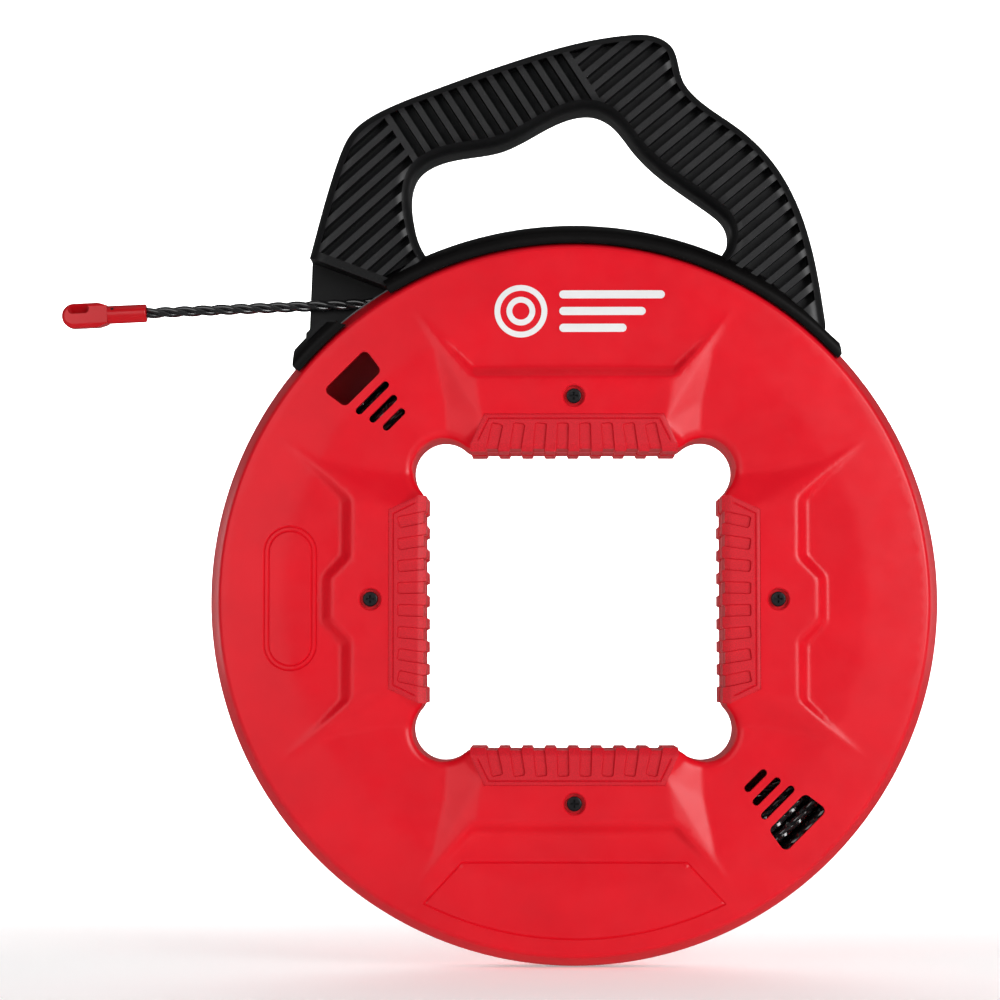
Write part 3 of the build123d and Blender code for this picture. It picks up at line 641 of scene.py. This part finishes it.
def make_shell(name, is_front):
    """Half of the case, drawn in the front's place."""
    hub, seat = hub_loop(), pad_seat()
    hub_rolls = [hub_loop(grow) for grow in (0.3, 0.8, 1.5, 2.4, HUB_ROLL)]
    loops = [ring_loop((0, 0), EDGE_R, 1.5), ring_loop((0, 0), EDGE_R - 0.8, 1.5), hub,
             hub_loop(HUB_WALL), *hub_rolls, *window_loops()]
    lip_out = HUB_HALF + PAD_LIP_T
    lip_loop = dense([(-PAD_HALF_IN, HUB_HALF - 1), (PAD_HALF_IN, HUB_HALF - 1),
                      (PAD_HALF_IN, lip_out), (-PAD_HALF_IN, lip_out)], 1.2, closed=True)
    for quarter in range(4):
        loops.append(spin(dense(seat[2:], 1.2), 90 * quarter))
        loops.append(spin(lip_loop, 90 * quarter))
    screws = [polar(SCREW_RING_R, a) for a in (0, 90, 180, 270)]
    for at in screws:
        loops += [ring_loop(at, r)
                  for r in (SCREW_HOLE_R, RECESS_R, RECESS_R + RECESS_BEVEL, BOSS_R)]
    lines = crease_lines()
    engraved = []
    if is_front:
        engraved = panel_lines()
        for path in engraved:
            along = unit(np.roll(path, -1, axis=0) - np.roll(path, 1, axis=0))
            normal = np.stack([along[:, 1], -along[:, 0]], axis=1)
            loops += [path, path + ENGRAVING_HALF * normal, path - ENGRAVING_HALF * normal]
    coarse, fine = (grid((-150, -150), (150, 150), pitch) for pitch in (3.4, 1.3))
    near = np.full(len(fine), 1e9)
    for line in lines:
        near = np.minimum(near, distance(fine, line[::3] if len(line) > 12 else line))
    points = np.vstack([coarse, fine[near < 2.6]])
    points = points[np.hypot(*points.T) < EDGE_R]
    flat, faces = triangulate(loops, lines, points, 0.55)
    mid = middles(flat, faces)
    radius = np.hypot(*mid.T)
    keep = (radius < EDGE_R) & ~inside(mid, hub)
    for loop in window_loops():
        keep &= ~inside(mid, loop)
    faces, mid = faces[keep], mid[keep]
    front = np.full(len(mid), PLAIN)
    rear = np.full(len(mid), PLAIN)
    rear[inside(mid, hub_loop(HUB_WALL))] = JOINT
    for quarter in range(4):
        turned = spin(mid, -90 * quarter)
        seated = inside(turned, seat) & (turned[:, 1] > HUB_HALF - 1)
        lip = seated & (turned[:, 1] < lip_out) & (np.abs(turned[:, 0]) < PAD_HALF_IN)
        front[seated] = SEAT
        front[lip] = LIP
        rear[seated & (rear == PLAIN)] = SEAT
    drop = np.zeros(len(mid), bool)
    for at in screws:
        away = np.hypot(*(mid - at).T)
        rear[away < BOSS_R] = JOINT
        if is_front:
            front[away < RECESS_R] = RECESS
            drop |= away < SCREW_HOLE_R
        else:
            rear[away < SCREW_HOLE_R] = BORE
    faces, front, rear = faces[~drop], front[~drop], rear[~drop]

    def face(points, zone):
        level = {SEAT: PAD_SEAT_DEPTH, LIP: PAD_LIP_END, RECESS: RECESS_FLOOR}
        if zone in level:
            return np.full(len(points), level[zone])
        depth = SURFACE.at(points)
        depth -= 0.8 * roll_off(distance(points, hub, closed=True), HUB_ROLL)
        depth -= 0.12 * (1 - np.clip(EDGE_R - np.hypot(*points.T), 0, 0.8) / 0.8)
        for path in engraved:
            d = distance(points, path, closed=True) / ENGRAVING_HALF
            depth -= ENGRAVING_DEPTH * np.clip(1 - d, 0, 1)
        if is_front:
            for at in screws:
                d = (np.hypot(*(points - at).T) - RECESS_R) / RECESS_BEVEL
                depth -= RECESS_BEVEL * np.clip(1 - d, 0, 1)
        return depth

    def skin(points, zone):
        level = {SEAT: PAD_SEAT_DEPTH - WALL, JOINT: 0.0, BORE: SCREW_HOLE_END}
        if zone in level:
            return np.full(len(points), level[zone])
        return SURFACE.at(points) - WALL

    def wall(at):
        if hypot(*at) < EDGE_R - 0.2:
            return []
        return [(*(at / hypot(*at) * r), d) for r, d in RIM_PROFILE]

    return relief(name, flat, faces, (front, face), (rear, skin), wall, sharp=38)


def pad_loop():
    """The pad's outline with its row of teeth along the opening."""
    path = [(PAD_HALF_IN, HUB_HALF + 2), (PAD_HALF_OUT, PAD_OUT), (-PAD_HALF_OUT, PAD_OUT),
            (-PAD_HALF_IN, HUB_HALF + 2), (-PAD_HALF_IN, HUB_HALF - TOOTH_H)]
    gap = (TOOTH_PITCH - TOOTH_W) / 2
    for middle in TOOTH_GAPS * TOOTH_PITCH:
        path += [(middle - gap, HUB_HALF - TOOTH_H), (middle - gap + 0.5, HUB_HALF),
                 (middle + gap - 0.5, HUB_HALF), (middle + gap, HUB_HALF - TOOTH_H)]
    path += [(PAD_HALF_IN, HUB_HALF - TOOTH_H)]
    return dense(path, 1.2, closed=True)


def pocket_loops(shrink=0.0):
    """Shallow pockets between the teeth, which lean together."""
    found = []
    half, end = POCKET_W / 2 - shrink, POCKET_OUT - HUB_HALF - shrink
    corners = [(-half, -4), (half, -4), (half, end), (-half, end)]
    for k in TOOTH_GAPS:
        loop = spin(rounded(corners, 1.1 - shrink, 0.5), k * POCKET_LEAN)
        found.append(dense(loop + (k * TOOTH_PITCH, HUB_HALF), 1.0, closed=True))
    return found


def make_pad(name):
    """One pad at the top, with its pockets and the fine groove along its border."""
    outline, pockets = pad_loop(), pocket_loops()
    groove = dense([(-39.6, 66.5), (-35.4, 75.0), (35.4, 75.0), (39.6, 66.5)], 1.0)
    groove_half, pocket_side, bevel = 0.45, 0.4, 0.6
    lip_out = HUB_HALF + PAD_LIP_T
    lines = [dense([(-PAD_HALF_IN - 1, v), (PAD_HALF_IN + 1, v)], 1.2)
             for v in (lip_out, lip_out - bevel)]
    lines += [dense([(-PAD_HALF_IN + bevel, lip_out), (-PAD_HALF_OUT + 0.5, PAD_OUT - bevel),
                     (PAD_HALF_OUT - 0.5, PAD_OUT - bevel), (PAD_HALF_IN - bevel, lip_out)], 1.2)]
    lines += [groove, beside(groove, groove_half), beside(groove, -groove_half)]
    points = grid((-44, 61), (44, 78), 1.6)
    flat, faces = triangulate([outline, *pockets, *pocket_loops(pocket_side)], lines, points, 0.4)
    mid = middles(flat, faces)
    keep = inside(mid, outline)
    faces, mid = faces[keep], mid[keep]
    top = np.full(len(mid), PLAIN)
    low = np.where(mid[:, 1] < lip_out, LIP, PLAIN)

    def face(points, _):
        depth = np.full(len(points), PLATEAU_DEPTH)
        depth -= 1.7 * np.clip((HUB_HALF + 2.5 - points[:, 1]) / 3.6, 0, 1) ** 1.3
        for loop in pockets:
            within = inside(points, loop)
            if within.any():
                d = distance(points[within], loop, closed=True)
                depth[within] -= POCKET_DEPTH * np.clip(d / pocket_side, 0, 1)
        depth -= groove_half * np.clip(1 - distance(points, groove) / groove_half, 0, 1)
        d = distance(points, outline, closed=True)
        depth -= np.where(points[:, 1] > 64.7, 0.35 * np.clip(1 - d / bevel, 0, 1), 0)
        return depth

    def underside(points, zone):
        return np.full(len(points), PAD_LIP_END if zone == LIP else PAD_SEAT_DEPTH)

    return relief(name, flat, faces, (top, face), (low, underside), sharp=32)


def make_case():
    front = make_shell("front_shell_moulding", True)
    rear = make_shell("rear_shell_moulding", False)
    pad = make_pad("pad_moulding")
    jobs = [(front, "front_shell", 0, "case_red"), (rear, "rear_shell", 0, "case_red")]
    for side, names in (("front", "top left bottom right"), ("rear", "top right bottom left")):
        jobs += [(pad, side + "_pad_" + name, 90 * quarter, "pad_red")
                 for quarter, name in enumerate(names.split())]
    made = []
    for mesh, node, turn, finish in jobs:
        piece = placed(mesh, node + "_moulded", turn, node.startswith("rear"))
        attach(piece, "case")
        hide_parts(node)
        made.append((piece, finish))
    return made


# ---- handle ----
HANDLE_HALF, SADDLE_HALF, SADDLE_IN_HALF = 15.0, 19.0, 5.0
LIP_IN, SADDLE_IN, SADDLE_OUT = 148.9, 153.1, 158.0
GRIP_FROM, GRIP_SKIRT = 153.4, 0.6  # the grip reaches down into the saddle
SADDLE_FROM, SADDLE_TO = 42.4, 140.3
ARM_FROM, ARM_LEAN = 130.8, 0.29  # where the arm below the notch starts; degrees per millimetre
# Straight cuts that taper the saddle's ends: an angle and radius where each starts and stops
SADDLE_CUTS = ((60.0, 158.2, 43.8, 154.2), (44.3, 155.2, 42.4, 151.4), (138.0, 158.4, 140.5, 152.4))
# The saddle's section over the front shell, outside and then back inside, as (radius, depth)
SADDLE_SECTION = (
    (SADDLE_OUT, 0), (SADDLE_OUT, 7.4), (157.7, 9.4), (156.8, 12.4), (155.7, 14.8), (154.5, 16.9),
    (153.4, 18.2), (152.4, 18.8), (151.4, SADDLE_HALF), (149.4, SADDLE_HALF), (149.0, 18.75),
    (149.1, 18.3), (151.0, 12.0), (152.6, 6.6), (153.0, 5.4), (SADDLE_IN, 4.2), (SADDLE_IN, 0),
)
OUTLET_FROM, OUTLET_FLOOR = 120.9, 2.9
OUTLET_LOW = (-70.0, 112.1)
GROOVE_DEPTH, GROOVE_BORDER, HANDLE_ROLL = 7.0, 3.6, 7.0
HANDLE_OUTER = [
    (-110.9, 145.3), (-102.8, 175.3), (-98.9, 187.2), (-94.2, 196.8), (-79.3, 207.6),
    (-58.9, 215.8), (-39.4, 222.9), (-22.7, 228.5), (-5.6, 233.6), (23.3, 238.9), (31.8, 238.9),
    (37.8, 237.0), (41.9, 233.7), (44.3, 227.8), (46.6, 219.2), (52.4, 211.8), (70.3, 198.6),
    (87.3, 180.2), (99.8, 150.7), (106.0, 116.5),
]
FINGER_OPENING = [
    (-60.8, 143.2), (-63.3, 146.8), (-65.4, 151.6), (-67.9, 161.7), (-68.4, 172.4),
    (-65.4, 180.6), (-57.8, 186.0), (-30.3, 191.8), (-0.9, 205.8), (8.8, 206.5), (16.4, 202.7),
    (24.5, 192.9), (32.9, 183.8), (57.9, 165.1), (63.6, 159.7), (65.6, 153.0), (64.6, 148.6),
    (61.9, 144.3),
]
OUTLET_LINE = ((-110.9, 143.7), (-78.7, 131.4))  # the notch's upper edge
OUTLET_BORDER = GROOVE_BORDER / cos(atan2(131.4 - 143.7, -78.7 + 110.9))
OUTLET_BORDER_END = -66.7
TOP_DIRECTION = 122.8
GROOVE_FAMILIES = (
    # direction of the grooves in degrees, offset of the first, pitch, count, width, and the
    # stretch that they cover, measured across the top bar's grooves
    (41.5, -208.9, 6.2, 10, 3.5, (-300.0, 43.0)),
    (TOP_DIRECTION, 47.7, 6.46, 12, 3.8, (45.7, 120.8)),
    (39.7, -196.0, 6.49, 27, 3.8, (123.5, 400.0)),
)

# The handle's one black plastic in four finishes: its own black for the body, a lighter copy on the
# rib tops as painted highlight, a darker copy on the groove floors and low walls as painted shade,
# and a darker, less glossy copy on the saddle as painted shade.
HANDLE_FINISHES = ("handle_black", "rib_painted_highlight", "groove_painted_shade", "saddle_painted_shade")


def across(direction):
    """The unit vector across a groove."""
    return np.array([sin(radians(direction)), -cos(radians(direction))])


TOP_ACROSS = across(TOP_DIRECTION)


def outlet_top(x, lift=0.0):
    """A point on the notch's upper edge, or a lift above it."""
    (x0, z0), (x1, z1) = OUTLET_LINE
    return x, z0 + lift + (z1 - z0) / (x1 - x0) * (x - x0)


def groove_field(points, outer, opening):
    """True where the handle's sides are cored out by grooves."""
    x, z = points.T
    return (inside(points, outer) & ~inside(points, opening)
            & (np.hypot(x, z) > GRIP_FROM + GRIP_SKIRT)
            & ((z > outlet_top(x, OUTLET_BORDER)[1]) | (x > OUTLET_BORDER_END)))


def runs_of(line, keep):
    """The stretches of a line where keep is true."""
    found, start = [], None
    for i, k in enumerate(list(keep) + [False]):
        if k and start is None:
            start = i
        if not k and start is not None:
            if i - start > 1:
                found.append((line[start], line[i - 1]))
            start = None
    return found


def saddle_limit(angle):
    """How far out the saddle reaches at an angle; its ends taper along straight cuts."""
    limit = SADDLE_OUT
    for start, start_r, stop, stop_r in SADDLE_CUTS:
        if (angle - start) * (stop - start) > 0:
            first, run = polar(start_r, start), polar(stop_r, stop) - polar(start_r, start)
            ray = polar(1, angle)
            reach = (first[0] * run[1] - first[1] * run[0]) / (ray[0] * run[1] - ray[1] * run[0])
            limit = min(reach, limit)
    return limit


def saddle_section(angle, from_depth):
    """The saddle's section at an angle, kept within its limit and out from a depth."""
    limit = saddle_limit(angle)
    if limit < SADDLE_IN:
        share = (SADDLE_IN - limit) / (SADDLE_IN - LIP_IN)
        from_depth = max(from_depth, SADDLE_IN_HALF + share * (SADDLE_HALF - SADDLE_IN_HALF))
    return [(min(r, limit), max(depth, from_depth)) for r, depth in SADDLE_SECTION]


def add_saddle(mesh):
    """Adds the channel over the rim to the grip's mesh. It is open in front for the tape."""
    crossings = [a for a in np.arange(SADDLE_FROM, SADDLE_TO, 0.01)
                 if (saddle_limit(a) - SADDLE_IN) * (saddle_limit(a + 0.01) - SADDLE_IN) <= 0]
    points, faces = [], []
    floor = OUTLET_FLOOR + 0.2
    for start, stop, has_front, from_depth in (
            (SADDLE_FROM, OUTLET_FROM, True, 0), (ARM_FROM, SADDLE_TO, True, 0),
            (OUTLET_FROM, ARM_FROM, False, floor)):
        turns = list(np.linspace(start, stop, int((stop - start) / 0.5) + 2))
        turns = sorted(turns + [a for a in crossings if start < a < stop])
        rings = []
        for angle in turns:
            ring = [(r, -d) for r, d in reversed(saddle_section(angle, from_depth))]
            if has_front:
                ring = saddle_section(angle, from_depth) + ring
            rings.append(range(len(points), len(points) + len(ring)))
            lean = max(0.0, 1 - (angle - start) / 2.5) if start == ARM_FROM else 0.0
            for r, d in ring:
                points.append((*polar(r, angle + lean * ARM_LEAN * (r - SADDLE_IN)), d))
        for a, b in zip(rings[:-1], rings[1:]):
            for j in range(len(a)):
                k = (j + 1) % len(a)
                faces.append((a[j], b[j], b[k], a[k]))
        faces += [tuple(reversed(rings[0])), tuple(rings[-1])]
    added = mesh_from("saddle", np.array([(x, -d, z) for x, z, d in points]) * MM, faces, merge=1e-6)
    both = bmesh.new()
    both.from_mesh(mesh)
    both.from_mesh(added)
    both.to_mesh(mesh)
    both.free()
    bpy.data.meshes.remove(added)


def make_handle(name):
    outer = through(HANDLE_OUTER)
    opening = through(FINGER_OPENING)
    below = np.array([(103.0, 100.0), (-60.0, 60.0), (-112.4, 104.0)])
    outer_loop = np.vstack([outer, dense(np.vstack([outer[-1:], below, outer[:1]]), 2.0)[1:-1]])
    opening_loop = np.vstack([opening, dense([opening[-1], opening[0]], 2.0)[1:-1]])
    field_outer = np.vstack([beside(outer, GROOVE_BORDER), [(100, 100), (-60, 60)]])
    field_opening = np.vstack([beside(opening, -GROOVE_BORDER), [(0, 120)]])

    rolls = (0.2, 0.7, 1.5, 2.5, 4.6, 5.8, HANDLE_ROLL)
    lines = [beside(outer, d) for d in rolls] + [beside(opening, -d) for d in rolls]
    lines += [beside(outer, GROOVE_BORDER), beside(opening, -GROOVE_BORDER)]
    for r in (GRIP_FROM, GRIP_FROM + GRIP_SKIRT):
        lines.append(np.array(arc((0, 0), r, SADDLE_FROM - 2, SADDLE_TO + 2, 1.2)))
    arm = [polar(SADDLE_OUT + 0.3, a) for a in (131.9, 134, 136, 138)] + [polar(GRIP_FROM, 140.6)]
    outlet = np.array([outlet_top(-130.0), OUTLET_LINE[1], polar(100, OUTLET_FROM), OUTLET_LOW,
                       *arm, (-130.0, 98.0)])
    lines.append(dense([outlet_top(-118.0), OUTLET_LINE[1], polar(140, OUTLET_FROM)], 1.5))
    lines.append(np.array([OUTLET_LOW, *arm]))
    lines.append(dense([outlet_top(-118.0, OUTLET_BORDER),
                        outlet_top(OUTLET_BORDER_END, OUTLET_BORDER)], 1.5))

    grooves = []
    for direction, first, pitch, count, width, (low, high) in GROOVE_FAMILIES:
        n = across(direction)
        along = np.array([cos(radians(direction)), sin(radians(direction))])
        t = np.arange(-320, 320, 0.3)[:, None]
        for limit in (low, high):
            if abs(limit) < 250 and direction != TOP_DIRECTION:
                across_line = TOP_ACROSS * limit + t * np.array([TOP_ACROSS[1], -TOP_ACROSS[0]])
                kept = groove_field(across_line, field_outer, field_opening)
                lines += [dense([a, b], 2.0) for a, b in runs_of(across_line, kept)]
        for i in range(count):
            middle = first + pitch * i

            def stretch(offset):
                line = n * offset + t * along
                span = line @ TOP_ACROSS
                kept = groove_field(line, field_outer, field_opening) & (span > low) & (span < high)
                return [(a, b) for a, b in runs_of(line, kept) if norm(b - a) > 3.5]

            if not stretch(middle):
                continue
            grooves.append((n, middle, width, low, high))
            for offset in (middle - width / 2, middle + width / 2):
                for a, b in stretch(offset):
                    reach = 0.35 * along
                    lines.append(dense([a - reach, b + reach], 2.5))

    points = grid((-125, 90), (125, 245), 3.0)
    flat, faces = triangulate([outer_loop, opening_loop], lines, points, 0.5)
    mid = middles(flat, faces)
    keep = inside(mid, outer_loop) & ~inside(mid, opening_loop) & (np.hypot(*mid.T) > GRIP_FROM)
    faces, mid = faces[keep], mid[keep]
    cored = np.zeros(len(mid), bool)
    span = mid @ TOP_ACROSS
    for n, middle, width, low, high in grooves:
        cored |= (np.abs(mid @ n - middle) < width / 2) & (span > low) & (span < high)
    cored &= groove_field(mid, field_outer, field_opening)
    rear = np.where(cored, GROOVE, PLAIN)
    front = np.where(inside(mid, outlet), NOTCH, rear)

    def depth(points, zone):
        if zone == NOTCH:
            return np.full(len(points), -OUTLET_FLOOR)
        if zone == GROOVE:
            return np.full(len(points), HANDLE_HALF - GROOVE_DEPTH)
        d = np.minimum(distance(points, outer), distance(points, opening))
        return HANDLE_HALF - roll_off(d, HANDLE_ROLL)

    back = (rear, lambda points, zone: -depth(points, zone))
    mesh = relief(name, flat, faces, (front, depth), back, sharp=35)
    centres = np.array([p.center for p in mesh.polygons]) / MM
    in_field = groove_field(centres[:, [0, 2]], field_outer, field_opening)
    low = np.abs(centres[:, 1]) < HANDLE_HALF - 1.5
    # Faces in the grooved field: the rib tops take the painted-highlight copy of the black, and the
    # groove floors and low walls take the painted-shade copy.
    body, rib, groove, saddle = range(len(HANDLE_FINISHES))
    index = np.where(in_field, np.where(low, groove, rib), body)
    add_saddle(mesh)
    # The saddle's faces take the painted-shade copy of the black.
    added = np.full(len(mesh.polygons) - len(index), saddle)
    mesh.polygons.foreach_set("material_index", np.concatenate([index, added]).astype(np.int32))
    piece = new_object(name, mesh)
    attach(piece, "handle")
    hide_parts("handle")
    return piece


# ---- materials ----
def set_inputs(node, values):
    for name, value in values.items():
        node.inputs[name].default_value = value


def finish_of(name, colour, roughness, metallic=0.0, grain=0.3, bump=0.1, mottle=0.05,
              speckle=None, coat=0.0, specular=0.5):
    """A material with a fine grain and a faint change of shade. grain is the grain's size in
    millimetres, and speckle a second colour with its share."""
    mat = bpy.data.materials.new(name)
    mat.use_nodes = True
    nodes, link = mat.node_tree.nodes, mat.node_tree.links.new
    shader = nodes["Principled BSDF"]
    set_inputs(shader, {"Metallic": metallic, "Coat Weight": coat, "Coat Roughness": 0.12,
                        "Specular IOR Level": specular})
    place = nodes.new("ShaderNodeTexCoord")

    def noise(size, detail):
        node = nodes.new("ShaderNodeTexNoise")
        set_inputs(node, {"Scale": 1 / (size * MM), "Detail": detail})
        link(place.outputs["Object"], node.inputs["Vector"])
        return node.outputs["Fac"]

    def ramp(source, *stops):
        node = nodes.new("ShaderNodeValToRGB")
        for stop, (at, value) in zip(node.color_ramp.elements, stops):
            stop.position = at
            stop.color = (*value, 1)
        link(source, node.inputs["Fac"])
        return node.outputs["Color"]

    dark = [c * (1 - mottle) for c in colour]
    light = [c * (1 + mottle) for c in colour]
    shade = ramp(noise(28, 3), (0.3, dark), (0.7, light))
    if speckle:
        second, share = speckle
        mix = nodes.new("ShaderNodeMix")
        mix.data_type = "RGBA"
        spots = ramp(noise(grain * 1.6, 2), (0.5 - share, (1, 1, 1)), (0.56, (0, 0, 0)))
        link(spots, mix.inputs["Factor"])
        link(shade, mix.inputs["A"])
        set_inputs(mix, {"B": (*second, 1)})
        shade = mix.outputs["Result"]
    link(shade, shader.inputs["Base Color"])
    rough = ramp(noise(9, 4), (0.3, [roughness * 0.88] * 3), (0.7, [roughness * 1.12] * 3))
    link(rough, shader.inputs["Roughness"])
    bumps = nodes.new("ShaderNodeBump")
    set_inputs(bumps, {"Strength": bump, "Distance": grain * MM * 0.4})
    link(noise(grain, 4), bumps.inputs["Height"])
    link(bumps.outputs["Normal"], shader.inputs["Normal"])
    return mat


# Each finish's colour, roughness and what differs from the usual
FINISHES = {
    "case_red": ((0.77, 0.004, 0.015), 0.32, dict(grain=0.35, specular=0.36)),
    "pad_red": ((0.72, 0.006, 0.02), 0.5,
                dict(bump=0.28, speckle=((0.6, 0.005, 0.015), 0.04), specular=0.36)),
    "handle_black": ((0.006, 0.006, 0.0065), 0.4, dict(grain=0.4, bump=0.12, specular=0.28)),
    # Rib tops: the handle's black painted lighter, a painted highlight.
    "rib_painted_highlight": ((0.012, 0.012, 0.013), 0.42, dict(bump=0.2)),
    # Saddle: the handle's black painted darker with a weaker sheen, painted shade.
    "saddle_painted_shade": ((0.0035, 0.003, 0.003), 0.42, dict(grain=0.4, bump=0.12, specular=0.16)),
    # Groove floors and low walls: the handle's black painted darker, painted shade.
    "groove_painted_shade": ((0.005, 0.005, 0.006), 0.6, dict(grain=0.4)),
    "rail_grey": ((0.22, 0.22, 0.23), 0.4, dict(grain=0.4)),
    "screw_black": ((0.03, 0.03, 0.033), 0.35, dict(metallic=0.7, bump=0.15)),
    "steel": ((0.55, 0.55, 0.56), 0.28, dict(metallic=1.0)),
    "tape_black": ((0.012, 0.012, 0.013), 0.13,
                   dict(grain=0.35, bump=0.12, coat=1.0, specular=0.8)),
    "tip_red": ((0.55, 0.004, 0.009), 0.22, dict(grain=0.6, bump=0.04, coat=0.2, specular=0.4)),
    "pin_dark": ((0.05, 0.012, 0.012), 0.4, dict(metallic=0.4)),
    "mark_white": ((0.86, 0.86, 0.86), 0.4, dict(bump=0.05)),
}
CAD_NODE_SLOTS = {
    "glide_rail": "rail_grey", "guide_bush": "steel", "case_screws": "screw_black",
    "anchor_clip": "steel", "anchor_screw": "steel", "front_mark": "mark_white",
    "tape_tip": "tip_red", "tip_pin": "pin_dark",
}


def paint(obj, *materials):
    obj.data.materials.clear()
    for material in materials:
        obj.data.materials.append(material)


def soften_edges(obj, width):
    """Rounds a CAD part's hard edges a little."""
    bevel = obj.modifiers.new("bevel", "BEVEL")
    bevel.width, bevel.segments = width * MM, 2
    bevel.limit_method, bevel.angle_limit = "ANGLE", radians(35)
    bevel.use_clamp_overlap = True
    bevel.harden_normals = True


# ---- surroundings ----
def make_room():
    """A plain floor that curves up into a backdrop, a soft world and the lamps, in metres."""
    mesh = bpy.data.meshes.new("floor")
    level, bend, bend_r, top, half_width = -CASE_R * MM - 0.0005, 2.0, 0.5, 3.5, 4
    profile = [(-3.5, level), (bend, level)]
    profile += [(bend + bend_r * sin(a), level + bend_r - bend_r * cos(a))
                for a in np.linspace(0.1, pi / 2, 10)]
    profile += [(bend + bend_r, top)]
    points = [(x, y, z) for x in (-half_width, half_width) for y, z in profile]
    count = len(profile)
    faces = [(i, i + 1, count + i + 1, count + i) for i in range(count - 1)]
    mesh.from_pydata(points, [], faces)
    mesh.shade_smooth()
    floor = new_object("floor", mesh)
    material = bpy.data.materials.new("floor")
    material.use_nodes = True
    set_inputs(material.node_tree.nodes["Principled BSDF"], {
        "Base Color": (0.95, 0.95, 0.95, 1), "Roughness": 0.8,
        "Emission Color": (1, 1, 1, 1), "Emission Strength": 0.34})
    paint(floor, material)
    floor.visible_glossy = False

    world = bpy.data.worlds.new("world")
    world.use_nodes = True
    set_inputs(world.node_tree.nodes["Background"], {"Color": (1, 1, 1, 1), "Strength": 0.1})
    bpy.context.scene.world = world
    bpy.context.scene.view_settings.view_transform = "Standard"
    for name, place, size, power in (  # metres and watts
        ("key", (1.1, -1.3, 0.4), 0.9, 16.5),
        ("fill", (-0.9, -1.5, 0.4), 1.2, 6),
        ("top", (0.0, -0.2, 1.5), 1.0, 0.8),
        ("left_edge", (-1.0, 0.75, 0.1), 0.5, 0.8),
        ("right_edge", (1.0, 0.75, 0.1), 0.5, 0.5),
        ("back", (0.1, 1.1, 1.3), 1.2, 75),
    ):
        light = bpy.data.lights.new(name, "AREA")
        light.shape, light.size, light.energy = "SQUARE", size, power
        obj = new_object(name, light)
        obj.location = place
        aim = Vector((0, bend + bend_r, 0.3) if name == "back" else (0, 0, 0.04))
        obj.rotation_euler = (aim - obj.location).to_track_quat("-Z", "Y").to_euler()


# ---- the whole object ----
make_camera()
pieces = make_tape() + make_case()
handle = make_handle("handle_moulded")
finishes = {name: finish_of(name, colour, roughness, **rest)
            for name, (colour, roughness, rest) in FINISHES.items()}
for part, slot in pieces:
    paint(part, finishes[slot])
slots = [p.material_index for p in handle.data.polygons]
paint(handle, *(finishes[key] for key in HANDLE_FINISHES))
handle.data.polygons.foreach_set("material_index", slots)
for node, slot in CAD_NODE_SLOTS.items():
    paint(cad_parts[node], finishes[slot])
for node, width in (("case_screws", 0.25), ("glide_rail", 0.3), ("anchor_clip", 0.2),
                    ("anchor_screw", 0.2), ("tape_tip", 0.4), ("front_mark", 0.05)):
    soften_edges(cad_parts[node], width)
make_room()
bpy.context.view_layer.update()
